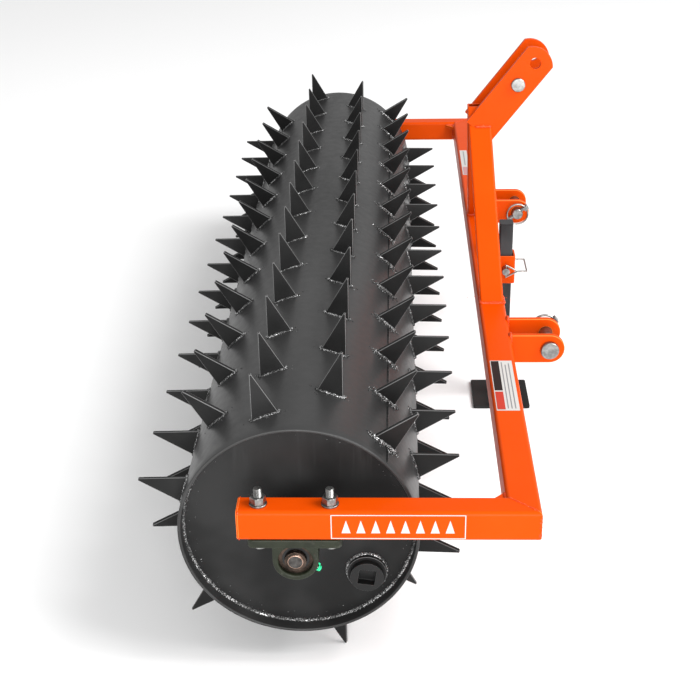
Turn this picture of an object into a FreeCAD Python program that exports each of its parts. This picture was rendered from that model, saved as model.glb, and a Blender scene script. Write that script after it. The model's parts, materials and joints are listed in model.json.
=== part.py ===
"""Water-ballast drum spike aerator for a tractor's three-point hitch.

Millimetres.  +X points forward, to the tractor, +Y along the drum to its left end, +Z up.
The origin is on the ground, under the middle of the machine's bounding box.
"""

import FreeCAD, Part
import math
import os

V = FreeCAD.Vector

# ---- driving sizes ---------------------------------------------------------------------
# drum
drum_len = 1620.0
drum_r = 168.0
drum_wall = 5.0
end_recess = 20.0          # end plate set in from the rim
end_plate_t = 6.0
hub_disc_r = 45.0          # stiffening disc behind each end plate
hub_disc_t = 8.0
shaft_r = 11.1
shaft_inside = 12.0        # shaft left standing inside the hub disc

# spikes
row_count = 12
spike_pitch = 127.0        # five inches
row_edge = 45.0            # least room from a spike's middle to the rim
spike_h = 65.0
spike_base = 38.0
spike_tip = 3.0
spike_t = 6.0
spike_twist = 10.0         # degrees off square to the axis, other way in the next row

# fill plug, in the right-hand end plate
plug_from_shell = 15.8     # boss to the inside of the shell
plug_turn = 38.4           # degrees below level, on the forward side
boss_wall = 8.0
boss_out = 8.0
boss_in = 10.0
plug_r = 20.0
plug_flange = 3.4
plug_head_t = 9.0
plug_body_len = 18.0
socket_wall = 3.0          # plug's rim to the socket's corners
socket_depth = 12.0
socket_turn = 8.0
thread_gap = 0.3

# pillow block bearing
bearing_h = 36.5           # axis to mounting face
bearing_foot_end = 16.0    # bolt to the end of the foot
bearing_base_w = 38.0
bearing_foot_t = 13.0
bearing_bolts = 95.0       # between the two bolts
housing_wall = 7.5
housing_w = 30.0
race_wall = 5.0
race_gap = 4.0             # inner ring to outer race
race_w = 16.0
ring_wall = 3.4
ring_len = 31.0
ball_bite = 1.9            # how deep a ball sits in each race
ball_count = 8
ball_gap = 0.3
seal_t = 1.0
screw_r = 2.5
shaft_proud = 1.5          # shaft end past the inner ring

# bearing bolts
bolt_r = 6.0
bolt_hole_gap = 0.5
bolt_head_t = 7.5
bolt_head_af = 19.0
bolt_above = 25.0          # thread standing above the arm
washer_r = 12.0
washer_t = 2.5
nut_t = 10.5

# frame
tube_wall = 3.0
tube_corner = 6.0
arm_w = 40.0
arm_h = 45.0
arm_gap = 27.0             # drum rim to arm
arm_rear = 73.0            # arm end behind the drum's axis
bar_w = 45.0
bar_gap = 47.0             # spike tips to the crossbar
cap_t = 3.0
gusset_leg = 20.0
gusset_t = 6.0

# mast
mast_deep = 25.0           # footprint of a leg along the crossbar
mast_foot = 227.0          # outer edge of a leg's foot from the middle
mast_rise = 301.0          # crossbar top to where the outer faces would meet
mast_back = 19.0           # how far the mast leans to the rear over that rise
mast_open = 14.0           # flat cut at the top, which leaves the tubes open
mast_front_gap = 2.0       # crossbar front face to the leg
mast_rear_gap = 3.0
mast_wall = 3.0
mast_corner = 4.0

# top link plates
link_gap = 50.0
link_t = 8.0
link_w = 57.0
link_slope = 52.0          # degrees above level
link_crown = 14.0          # height of the arc at the end
link_set_back = 38.0       # mast's front face at the foot to the middle of the lower end
link_drop = 52.5           # the same point below the mast's full height
link_pin_at = 107.0        # lower hole from the lower end
link_hole_step = 47.0
link_end = 27.0            # upper hole to the end of the plate
top_pin_r = 9.5
top_pin_rim = 2.5          # head past the pin all round
top_pin_head_t = 6.0
top_hole_gap = 0.5         # in the empty upper hole

# lower hitch
clevis_spread = 640.0
ear_gap = 54.0
ear_t = 9.0
ear_h = 50.0
ear_reach = 65.0           # crossbar front face to the pin
low_pin_r = 11.1
low_pin_rim = 3.9
low_pin_head_t = 8.0
pin_gap = 0.1              # running fit of a hitch pin in its ears
head_gap = 0.5

# linch pins
linch_r = 4.0
linch_at = 8.0             # ear face to the linch pin
tail_past = 9.0            # linch pin to the hitch pin's end
linch_tip = 13.9           # past the hitch pin, at the point
linch_neck = 5.9           # hitch pin to the lug
linch_lug_len = 9.0
linch_lug_w = 9.0
linch_turn = 39.0
loop_wire = 1.8
loop_off = 6.5             # loop's plane from the linch pin
lug_hole_gap = 1.1
lug_wall = 1.6

# parking stand
sleeve_side = 36.0
sleeve_wall = 3.0
sleeve_len = 55.0
sleeve_corner = 4.0
leg_play = 2.5             # leg to the inside of the sleeve
leg_wall = 2.5
leg_corner = 3.0
leg_above = 63.0           # leg's top above the frame
leg_cap_t = 4.0
leg_cap_deep = 14.0
foot_side = 110.0
foot_t = 6.0
foot_corner = 4.0
lock_r = 5.0
lock_gap = 0.25
lock_drop = 25.0           # sleeve top to the pin
lock_step = 150.0          # to the hole for the raised leg
lock_rim = 2.0
lock_head_len = 16.0
lock_tail = 14.0
bail_wire = 1.5
bail_out = 21.0            # side run from the sleeve
bail_at = 12.0             # near run from the sleeve
bail_far = 10.0            # far run from the sleeve
bail_room = 3.5            # pin's head to the strands beside it
bail_grip = 95.0           # degrees of the hook round the pin's tail

# grease fitting
nipple_turn = -35.0
nipple_r = 3.0
nipple_len = 7.0
nipple_cap_r = 4.6
nipple_cap_t = 5.0

# ---- places that follow from the sizes --------------------------------------------------
row_step = 360.0 / row_count
half_step = math.radians(row_step / 2)
spike_reach = drum_r + spike_h
long_row = 1 + int((drum_len - 2 * row_edge) / spike_pitch)     # a short row has one fewer
twist = math.radians(spike_twist)
tip_half = spike_tip / 2 * math.cos(twist) + spike_t / 2 * math.sin(twist)
ear_r = ear_h / 2
bar_front = spike_reach + bar_gap + bar_w
front_reach = bar_front + ear_reach + ear_r

axis_z = spike_reach * math.cos(half_step) + tip_half * math.sin(half_step)
axis_x = (axis_z - front_reach) / 2

drum_end = drum_len / 2
plate_y = drum_end - end_recess
boss_r = plug_r + boss_wall
plug_head_r = plug_r + plug_flange
plug_at = drum_r - drum_wall - plug_from_shell - boss_r
plug_x = axis_x + plug_at * math.cos(math.radians(plug_turn))
plug_z = axis_z - plug_at * math.sin(math.radians(plug_turn))
socket_side = math.sqrt(2) * (plug_r - socket_wall)
arm_in = drum_end + arm_gap
arm_out = arm_in + arm_w
arm_mid = (arm_in + arm_out) / 2
arm_low = axis_z + bearing_h
arm_top = arm_low + arm_h
bar_x1 = axis_x + bar_front
bar_x0 = bar_x1 - bar_w

ring_r = shaft_r + ring_wall
race_in_r = ring_r + race_gap
race_r = race_in_r + race_wall
housing_r = race_r + housing_wall
ball_pitch_r = (ring_r + race_in_r) / 2
ball_r = race_gap / 2 + ball_bite
bearing_base_len = bearing_bolts + 2 * bearing_foot_end
shaft_end = arm_mid + ring_len / 2 + shaft_proud

low_pin_x = bar_x1 + ear_reach
low_pin_z = arm_top - ear_r
ear_in = ear_gap / 2
ear_out = ear_in + ear_t

link_dir = V(math.cos(math.radians(link_slope)), 0, math.sin(math.radians(link_slope)))
mast_x1 = bar_x1 - mast_front_gap
mast_x0 = bar_x0 + mast_rear_gap
mast_w = mast_x1 - mast_x0
mast_top = arm_top + mast_rise
link_low = V(mast_x1 - link_set_back, 0, mast_top - link_drop)
link_pin = link_low + link_dir * link_pin_at
link_hole = link_pin + link_dir * link_hole_step
link_out = link_gap / 2 + link_t
mast_dir = V(-mast_back, mast_foot, mast_rise)

stand_x = bar_x1 + sleeve_side / 2
leg_side = sleeve_side - 2 * sleeve_wall - 2 * leg_play
leg_top = arm_top + leg_above
lock_z = arm_top - lock_drop
lock_head_r = lock_r + lock_rim
bail_rise = lock_head_r + bail_wire + bail_room
bail_join = lock_head_r + 15.0       # pin's axis to where the two strands meet

tail_len = linch_at + tail_past
SIDES = (("left", 1), ("right", -1))


# ---- building blocks -------------------------------------------------------------------
def cyl_y(r, y0, y1, x=0.0, z=0.0):
    """Solid cylinder along Y between y0 and y1."""
    return Part.makeCylinder(r, y1 - y0, V(x, y0, z), V(0, 1, 0))


def cyl_z(r, z0, z1, x, y):
    """Solid cylinder along Z between z0 and z1."""
    return Part.makeCylinder(r, z1 - z0, V(x, y, z0), V(0, 0, 1))


def box(x0, x1, y0, y1, z0, z1):
    """Solid box between two corners."""
    return Part.makeBox(x1 - x0, y1 - y0, z1 - z0, V(x0, y0, z0))


def prism(points, along):
    """Solid made by pushing a closed outline of straight runs along a vector."""
    wire = Part.makePolygon(points + [points[0]])
    return Part.Face(wire).extrude(along)


def round_rect(centre, u, v, du, dv, r):
    """Face with rounded corners; u and v are its unit directions, du by dv its size."""
    a, b = du / 2, dv / 2
    c = r * (1 - math.sqrt(0.5))
    edges = []
    corners = ((1, 1), (-1, 1), (-1, -1), (1, -1))
    for i, (su, sv) in enumerate(corners):
        flip = su * sv > 0
        p = centre + u * (su * a) + v * (sv * (b - r))
        q = centre + u * (su * (a - r)) + v * (sv * b)
        mid = centre + u * (su * (a - c)) + v * (sv * (b - c))
        first, last = (p, q) if flip else (q, p)
        if edges:
            edges.append(Part.makeLine(end, first))
        else:
            start = first
        edges.append(Part.Arc(first, mid, last).toShape())
        end = last
    edges.append(Part.makeLine(end, start))
    return Part.Face(Part.Wire(edges))


def tube(centre, u, v, du, dv, wall, r, along):
    """Hollow section with rounded corners, pushed along a vector."""
    outer = round_rect(centre, u, v, du, dv, r)
    inner = round_rect(centre, u, v, du - 2 * wall, dv - 2 * wall, max(r - wall, 0.5))
    return outer.extrude(along).cut(inner.extrude(along))


def hexagon(af, x, y, z0, z1):
    """Solid hexagonal prism along Z, af across its flats."""
    r = af / math.sqrt(3)
    turns = [math.radians(60 * i) for i in range(6)]
    points = [V(x + r * math.cos(t), y + r * math.sin(t), z0) for t in turns]
    return prism(points, V(0, 0, z1 - z0))


def rod(points, r):
    """Bent round wire: straight runs with a ball at each bend."""
    shapes = []
    for a, b in zip(points, points[1:]):
        shapes.append(Part.makeCylinder(r, (b - a).Length, a, b - a))
    shapes += [Part.makeSphere(r, p) for p in points[1:-1]]
    return shapes[0].fuse(shapes[1:]).removeSplitter()


def mirrored(shape, side):
    """The right-hand shape, or its mirror image for the left."""
    return shape if side < 0 else shape.mirror(V(0, 0, 0), V(0, 1, 0))


def turned(shape, degrees):
    """The shape turned about the drum's axis."""
    out = shape.copy()
    out.rotate(V(axis_x, 0, axis_z), V(0, 1, 0), degrees)
    return out


# ---- drum ------------------------------------------------------------------------------
def drum_shell():
    outer = cyl_y(drum_r, -drum_end, drum_end, axis_x, axis_z)
    return outer.cut(cyl_y(drum_r - drum_wall, -drum_end, drum_end, axis_x, axis_z))


def plug_axis(r, y0, y1):
    """Cylinder on the fill plug's axis."""
    return cyl_y(r, y0, y1, plug_x, plug_z)


def end_plate(side):
    y0 = -plate_y
    disc = cyl_y(drum_r - drum_wall, y0, y0 + end_plate_t, axis_x, axis_z)
    disc = disc.cut(cyl_y(shaft_r, y0, y0 + end_plate_t, axis_x, axis_z))
    if side < 0:
        disc = disc.cut(plug_axis(boss_r, y0, y0 + end_plate_t))
    return mirrored(disc, side)


def hub_discs():
    y0 = -plate_y + end_plate_t
    disc = cyl_y(hub_disc_r, y0, y0 + hub_disc_t, axis_x, axis_z)
    disc = disc.cut(cyl_y(shaft_r, y0, y0 + hub_disc_t, axis_x, axis_z))
    return Part.makeCompound([mirrored(disc, side) for name, side in SIDES])


def stub_shaft(side):
    inner = -plate_y + end_plate_t + hub_disc_t + shaft_inside
    shaft = cyl_y(shaft_r, -shaft_end, inner, axis_x, axis_z)
    shaft = shaft.makeChamfer(1.0, [e for e in shaft.Edges if e.BoundBox.YMax < -shaft_end + 1])
    return mirrored(shaft, side)


def spike(way):
    """One spike standing up from the top of the drum, at y = 0."""
    sink = drum_wall
    low = drum_r - sink
    spread = (spike_base - spike_tip) / 2 / spike_h
    half = spike_tip / 2 + spread * (spike_h + sink)
    outline = [
        V(-half, 0, low),
        V(half, 0, low),
        V(spike_tip / 2, 0, spike_reach),
        V(-spike_tip / 2, 0, spike_reach),
    ]
    plate = prism([p + V(0, -spike_t / 2, 0) for p in outline], V(0, spike_t, 0))
    plate.rotate(V(0, 0, 0), V(0, 0, 1), way * spike_twist)
    plate = plate.cut(cyl_y(drum_r, -spike_base, spike_base))
    plate.translate(V(axis_x, 0, axis_z))
    return plate


def spike_row(index):
    """Row number index; even rows are the long ones."""
    short = index % 2
    count = long_row - short
    one = turned(spike(-1 if short else 1), (index - 0.5) * row_step)
    row = []
    for i in range(count):
        copy = one.copy()
        copy.translate(V(0, (i - (count - 1) / 2) * spike_pitch, 0))
        row.append(copy)
    return Part.makeCompound(row)


# ---- fill plug -------------------------------------------------------------------------
def fill_boss():
    y0 = -plate_y - boss_out
    y1 = -plate_y + end_plate_t + boss_in
    return plug_axis(boss_r, y0, y1).cut(plug_axis(plug_r + thread_gap, y0, y1))


def fill_plug():
    y0 = -plate_y - boss_out - thread_gap
    plug = plug_axis(plug_head_r, y0 - plug_head_t, y0).fuse(
        plug_axis(plug_r, y0, y0 + plug_body_len)
    )
    s = socket_side / 2
    face = y0 - plug_head_t
    socket = box(plug_x - s, plug_x + s, face, face + socket_depth, plug_z - s, plug_z + s)
    socket.rotate(V(plug_x, 0, plug_z), V(0, 1, 0), socket_turn)
    return plug.cut(socket).removeSplitter()


# ---- bearings --------------------------------------------------------------------------
def bearing_housing(side):
    y0, y1 = -arm_mid - housing_w / 2, -arm_mid + housing_w / 2
    body = cyl_y(housing_r, y0, y1, axis_x, axis_z)
    neck = box(axis_x - housing_r, axis_x + housing_r, y0, y1, axis_z, arm_low)
    half_w = bearing_base_w / 2
    centre = V(axis_x, -arm_mid, arm_low - bearing_foot_t)
    foot = round_rect(centre, V(1, 0, 0), V(0, 1, 0), bearing_base_len, 2 * half_w, 9.0)
    foot = foot.extrude(V(0, 0, bearing_foot_t))
    housing = body.fuse([neck, foot]).removeSplitter()
    housing = housing.cut(cyl_y(race_r, -arm_out, -arm_in, axis_x, axis_z))
    for x in bolt_places():
        hole = cyl_z(bolt_r + bolt_hole_gap, axis_z, arm_low, x, -arm_mid)
        housing = housing.cut(hole)
    return mirrored(housing, side)


def bolt_places():
    return (axis_x - bearing_bolts / 2, axis_x + bearing_bolts / 2)


def ball_groove():
    """Ring-shaped cutter that both races share."""
    centre = V(axis_x, -arm_mid, axis_z)
    return Part.makeTorus(ball_pitch_r, ball_r + ball_gap, centre, V(0, 1, 0))


def both_sides(shapes):
    """Compound of right-hand shapes and their mirror images."""
    return Part.makeCompound([mirrored(s, side) for s in shapes for name, side in SIDES])


def bearing_races():
    y0, y1 = -arm_mid - race_w / 2, -arm_mid + race_w / 2
    race = cyl_y(race_r, y0, y1, axis_x, axis_z).cut(cyl_y(race_in_r, y0, y1, axis_x, axis_z))
    return both_sides([race.cut(ball_groove())])


def bearing_balls():
    ball = Part.makeSphere(ball_r, V(axis_x, -arm_mid, axis_z + ball_pitch_r))
    return both_sides([turned(ball, i * 360 / ball_count) for i in range(ball_count)])


def bearing_seals():
    seals = []
    inner = ring_r + ball_gap
    for y0 in (-arm_mid - race_w / 2, -arm_mid + race_w / 2 - seal_t):
        seal = cyl_y(race_in_r, y0, y0 + seal_t, axis_x, axis_z)
        seals.append(seal.cut(cyl_y(inner, y0, y0 + seal_t, axis_x, axis_z)))
    return both_sides(seals)


def screw_place():
    """Middle of the inner ring's screw band, on its outboard side."""
    return -arm_mid - (race_w / 2 + ring_len / 2) / 2


def set_screw_tool(degrees, r, r0, r1):
    tool = cyl_z(r, axis_z + r0, axis_z + r1, axis_x, screw_place())
    return turned(tool, degrees)


def bearing_inner_rings():
    y0, y1 = -arm_mid - ring_len / 2, -arm_mid + ring_len / 2
    ring = cyl_y(ring_r, y0, y1, axis_x, axis_z).cut(cyl_y(shaft_r, y0, y1, axis_x, axis_z))
    ring = ring.cut(ball_groove())
    for degrees in (0, 120):
        ring = ring.cut(set_screw_tool(degrees, screw_r, 0, ring_r + 1))
    return both_sides([ring])


def bearing_set_screws():
    screws = [set_screw_tool(a, screw_r, shaft_r, ring_r - 0.4) for a in (0, 120)]
    screws = [s.cut(cyl_y(shaft_r, -arm_out, -arm_in, axis_x, axis_z)) for s in screws]
    return both_sides(screws)


def nipple_axis(r, r0, r1):
    """Cylinder on the grease nipple's axis, between two distances from the bearing's."""
    out = Part.makeCylinder(r, r1 - r0, V(axis_x + r0, -arm_mid, axis_z), V(1, 0, 0))
    return turned(out, -nipple_turn)


def grease_nipples():
    stem = nipple_axis(nipple_r, housing_r - 1, housing_r + nipple_len)
    stem = stem.cut(cyl_y(housing_r, -arm_out, -arm_in, axis_x, axis_z))
    return both_sides([stem])


def grease_caps():
    r1 = housing_r + nipple_len + 1.5
    cap = nipple_axis(nipple_cap_r, r1 - nipple_cap_t, r1)
    cap = cap.cut(nipple_axis(nipple_r, housing_r, housing_r + nipple_len))
    return both_sides([cap])


def bearing_bolt_set():
    z0 = arm_low - bearing_foot_t
    bolts = []
    for x in bolt_places():
        head = hexagon(bolt_head_af, x, -arm_mid, z0 - bolt_head_t, z0)
        shank = cyl_z(bolt_r, z0, arm_top + bolt_above, x, -arm_mid)
        bolts.append(head.fuse(shank).removeSplitter())
    return both_sides(bolts)


def bearing_washers():
    rings = []
    for x in bolt_places():
        ring = cyl_z(washer_r, arm_top, arm_top + washer_t, x, -arm_mid)
        rings.append(ring.cut(cyl_z(bolt_r, arm_top, arm_top + washer_t, x, -arm_mid)))
    return both_sides(rings)


def bearing_nuts():
    z0 = arm_top + washer_t
    nuts = []
    for x in bolt_places():
        nut = hexagon(bolt_head_af, x, -arm_mid, z0, z0 + nut_t)
        nuts.append(nut.cut(cyl_z(bolt_r, z0, z0 + nut_t, x, -arm_mid)))
    return both_sides(nuts)


# ---- frame -----------------------------------------------------------------------------
def mitre(for_arm):
    """Block on the arm's side, or the crossbar's, of the right-hand corner's mitre."""
    inner, outer = V(bar_x0, -arm_in, 0), V(bar_x1, -arm_out, 0)
    run = outer - inner
    a, b = inner - run * 2, outer + run * 2
    if for_arm:
        back = V(-4 * front_reach, 0, 0)
        return prism([a, b, b + back, a + back], V(0, 0, 2 * arm_top))
    far = [V(b.x, 2 * arm_out, 0), V(a.x, 2 * arm_out, 0)]
    return prism([a, b] + far, V(0, 0, 2 * arm_top))


def arm(side):
    x0 = axis_x - arm_rear
    centre = V(x0, -arm_mid, (arm_low + arm_top) / 2)
    shape = tube(
        centre, V(0, 1, 0), V(0, 0, 1), arm_w, arm_h, tube_wall, tube_corner,
        V(bar_x1 - x0, 0, 0),
    )
    shape = shape.common(mitre(True))
    for x in bolt_places():
        shape = shape.cut(cyl_z(bolt_r + bolt_hole_gap, arm_low, arm_top, x, -arm_mid))
    return mirrored(shape, side)


def arm_end_caps():
    centre = V(axis_x - arm_rear, -arm_mid, (arm_low + arm_top) / 2)
    face = round_rect(centre, V(0, 1, 0), V(0, 0, 1), arm_w, arm_h, tube_corner)
    return both_sides([face.extrude(V(-cap_t, 0, 0))])


def crossbar():
    centre = V((bar_x0 + bar_x1) / 2, -arm_out, (arm_low + arm_top) / 2)
    bar = tube(
        centre, V(1, 0, 0), V(0, 0, 1), bar_w, arm_h, tube_wall, tube_corner,
        V(0, 2 * arm_out, 0),
    )
    block = mitre(False)
    return bar.common(block).common(mirrored(block, 1))


def corner_gussets():
    z0 = arm_top - tube_corner - gusset_t
    points = [V(bar_x0, -arm_in, z0), V(bar_x0 - gusset_leg, -arm_in, z0)]
    points.append(V(bar_x0, -arm_in + gusset_leg, z0))
    return both_sides([prism(points, V(0, 0, gusset_t))])


def mast_leg(side):
    """Slanted tube from the crossbar to the middle, cut where it meets the other leg."""
    steep = math.atan2(mast_rise, mast_foot)
    centre = V((mast_x0 + mast_x1) / 2, -mast_foot + mast_deep / 2, arm_top)
    along = mast_dir * 1.2
    outer = round_rect(centre, V(1, 0, 0), V(0, 1, 0), mast_w, mast_deep, mast_corner)
    hole_w = mast_w - 2 * mast_wall
    hole_deep = mast_deep - 2 * mast_wall / math.sin(steep)
    inner = round_rect(centre, V(1, 0, 0), V(0, 1, 0), hole_w, hole_deep, 1.0)
    leg = outer.extrude(along).cut(inner.extrude(along))
    top = mast_top - mast_open
    keep = box(mast_x0 - mast_w, mast_x1 + mast_w, -2 * mast_foot, 0, arm_top, top)
    return mirrored(leg.common(keep), side)


def mast_envelope():
    """Both legs filled in, to fit the top link plates round them."""
    shapes = []
    centre = V((mast_x0 + mast_x1) / 2, -mast_foot + mast_deep / 2, arm_top)
    outer = round_rect(centre, V(1, 0, 0), V(0, 1, 0), mast_w, mast_deep, mast_corner)
    solid = outer.extrude(mast_dir * 1.2)
    top = mast_top - mast_open
    keep = box(mast_x0 - mast_w, mast_x1 + mast_w, -2 * mast_foot, 0, arm_top, top)
    solid = solid.common(keep)
    for name, side in SIDES:
        shapes.append(mirrored(solid, side))
    return shapes[0].fuse(shapes[1]).removeSplitter()


def link_hole_tool(centre, r):
    return cyl_y(r, -link_out, -link_gap / 2, centre.x, centre.z)


def link_plate(side):
    n = V(-link_dir.z, 0, link_dir.x)
    half = n * (link_w / 2)
    y = V(0, -link_out, 0)
    top = link_hole + link_dir * (link_end - link_crown)
    a, b = link_low - half + y, top - half + y
    c, d = top + half + y, link_low + half + y
    crown = Part.Arc(b, top + link_dir * link_crown + y, c).toShape()
    edges = [Part.makeLine(a, b), crown, Part.makeLine(c, d), Part.makeLine(d, a)]
    plate = Part.Face(Part.Wire(edges)).extrude(V(0, link_t, 0))
    plate = plate.cut(link_hole_tool(link_pin, top_pin_r + pin_gap))
    plate = plate.cut(link_hole_tool(link_hole, top_pin_r + top_hole_gap))
    plate = plate.cut(mast_envelope())
    solids = sorted(plate.Solids, key=lambda s: s.Volume)
    return mirrored(solids[-1], side)


# ---- lower hitch -----------------------------------------------------------------------
def ear(side, outboard):
    """One clevis ear; its round end is centred on the pin."""
    middle = clevis_spread / 2
    y0 = -middle - ear_out if outboard else -middle + ear_in
    y1 = y0 + ear_t
    plate = box(bar_x1, low_pin_x, y0, y1, low_pin_z - ear_r, low_pin_z + ear_r)
    plate = plate.fuse(cyl_y(ear_r, y0, y1, low_pin_x, low_pin_z)).removeSplitter()
    plate = plate.cut(cyl_y(low_pin_r + pin_gap, y0, y1, low_pin_x, low_pin_z))
    return mirrored(plate, side)


def hitch_pin(x, z, r, head_r, head_t, start, end):
    """Headed pin along Y with its linch hole; start is the head side's ear face."""
    head = cyl_y(head_r, start - head_gap - head_t, start - head_gap, x, z)
    head = head.makeChamfer(1.0, [e for e in head.Edges if e.BoundBox.YLength < 0.01])
    shank = cyl_y(r, start - head_gap, end + tail_len, x, z)
    shank = shank.makeChamfer(
        1.5, [e for e in shank.Edges if e.BoundBox.YMin > end + tail_len - 1]
    )
    pin = head.fuse(shank).removeSplitter()
    way = linch_way()
    hole = Part.makeCylinder(linch_r + 0.1, 4 * r, V(x, end + linch_at, z) - way * (2 * r), way)
    return pin.cut(hole)


def linch_way():
    """Direction from the hitch pin's axis to the linch pin's head."""
    t = math.radians(linch_turn)
    return V(math.cos(t), 0, math.sin(t))


def linch_middle(x, z, end):
    """Where the linch pin crosses the hitch pin's axis."""
    return V(x, end + linch_at, z)


def loop_radius(r):
    """The loop goes round a hitch pin of radius r and through the lug's middle."""
    return r + linch_neck + linch_lug_len / 2


def linch_pin(x, z, r, end):
    way = linch_way()
    side = V(-way.z, 0, way.x)
    middle = linch_middle(x, z, end)
    start = middle - way * (r + linch_tip)
    lug_in = r + linch_neck
    lug_out = lug_in + linch_lug_len
    pin = Part.makeCylinder(linch_r, r + linch_tip + lug_out, start, way)
    tip = [e for e in pin.Edges if (e.BoundBox.Center - start).Length < linch_r]
    pin = pin.makeChamfer(1.5, tip)
    reach = loop_off + loop_wire + lug_hole_gap + lug_wall
    corner = middle + way * lug_in - side * (linch_lug_w / 2) - V(0, linch_r, 0)
    points = [corner, corner + side * linch_lug_w]
    points += [points[1] + V(0, linch_r + reach, 0), corner + V(0, linch_r + reach, 0)]
    lug = prism(points, way * linch_lug_len)
    centre = middle + way * loop_radius(r) + V(0, loop_off, 0)
    hole_r = loop_wire + lug_hole_gap
    hole = Part.makeCylinder(hole_r, 3 * linch_lug_w, centre - side * (1.5 * linch_lug_w), side)
    return pin.fuse(lug).removeSplitter().cut(hole)


def linch_loop(x, z, r, end):
    centre = linch_middle(x, z, end) + V(0, loop_off, 0)
    return Part.makeTorus(loop_radius(r), loop_wire, centre, V(0, 1, 0))


def low_pin_span():
    """Outer ear faces of the right-hand clevis, head side first."""
    middle = clevis_spread / 2
    return -middle - ear_out, -middle + ear_out


def lower_pin(side):
    start, end = low_pin_span()
    head_r = low_pin_r + low_pin_rim
    pin = hitch_pin(low_pin_x, low_pin_z, low_pin_r, head_r, low_pin_head_t, start, end)
    return mirrored(pin, side)


def lower_linch(side, shape):
    return mirrored(shape(low_pin_x, low_pin_z, low_pin_r, low_pin_span()[1]), side)


def top_pin():
    head_r = top_pin_r + top_pin_rim
    return hitch_pin(
        link_pin.x, link_pin.z, top_pin_r, head_r, top_pin_head_t, -link_out, link_out
    )


def top_linch(shape):
    return shape(link_pin.x, link_pin.z, top_pin_r, link_out)


# ---- parking stand ---------------------------------------------------------------------
def lock_hole(z, r, half):
    return cyl_y(r, -half, half, stand_x, z)


def stand_sleeve():
    centre = V(stand_x, 0, arm_top - sleeve_len)
    sleeve = tube(
        centre, V(1, 0, 0), V(0, 1, 0), sleeve_side, sleeve_side, sleeve_wall,
        sleeve_corner, V(0, 0, sleeve_len),
    )
    return sleeve.cut(lock_hole(lock_z, lock_r + lock_gap, sleeve_side))


def stand_leg():
    leg = tube(
        V(stand_x, 0, foot_t), V(1, 0, 0), V(0, 1, 0), leg_side, leg_side, leg_wall,
        leg_corner, V(0, 0, leg_top - leg_cap_t - foot_t),
    )
    for z in (lock_z, lock_z - lock_step):
        leg = leg.cut(lock_hole(z, lock_r + lock_gap, leg_side))
    return leg


def stand_leg_cap():
    z0 = leg_top - leg_cap_t
    x, y = V(1, 0, 0), V(0, 1, 0)
    lid = round_rect(V(stand_x, 0, z0), x, y, leg_side, leg_side, leg_corner)
    lid = lid.extrude(V(0, 0, leg_cap_t))
    inside = leg_side - 2 * leg_wall
    plug = round_rect(V(stand_x, 0, z0 - leg_cap_deep), x, y, inside, inside, 0.5)
    plug = plug.extrude(V(0, 0, leg_cap_deep))
    return lid.fuse(plug).removeSplitter()


def stand_foot():
    face = round_rect(
        V(stand_x, 0, 0), V(1, 0, 0), V(0, 1, 0), foot_side, foot_side, foot_corner
    )
    return face.extrude(V(0, 0, foot_t))


def lock_pin():
    face = sleeve_side / 2
    head = cyl_y(lock_head_r, -face - head_gap - lock_head_len, -face - head_gap, stand_x, lock_z)
    shank = cyl_y(lock_r, -face - head_gap, face + lock_tail, stand_x, lock_z)
    pin = head.fuse(shank).removeSplitter()
    y = -face - bail_at
    return pin.cut(cyl_z(bail_wire + lock_gap, lock_z - 20, lock_z + 20, stand_x, y))


def lock_bail():
    """Square wire bail: held in the pin's head, round the sleeve, hooked on the tail."""
    face = sleeve_side / 2
    y0, y1 = -face - bail_at, face + bail_far
    pin = V(stand_x, y0, lock_z)
    join = pin + V(bail_join, 0, 0)
    up, down = pin + V(0, 0, bail_rise), pin - V(0, 0, bail_rise)
    hook_r = lock_r + lock_gap + bail_wire + 0.25
    side = V(stand_x + face + bail_out, y0, lock_z)
    far = V(side.x, y1, lock_z)
    run = [join, side, far, V(stand_x + hook_r, y1, lock_z)]
    bail = rod([join, up, down, join + V(0.01, 0, 0)], bail_wire).fuse(rod(run, bail_wire))
    hook = Part.makeTorus(
        hook_r, bail_wire, V(stand_x, y1, lock_z), V(0, 1, 0), 0, 360, bail_grip
    )
    hook.rotate(V(stand_x, y1, lock_z), V(0, 1, 0), 90)
    return bail.fuse(hook).removeSplitter()


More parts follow.
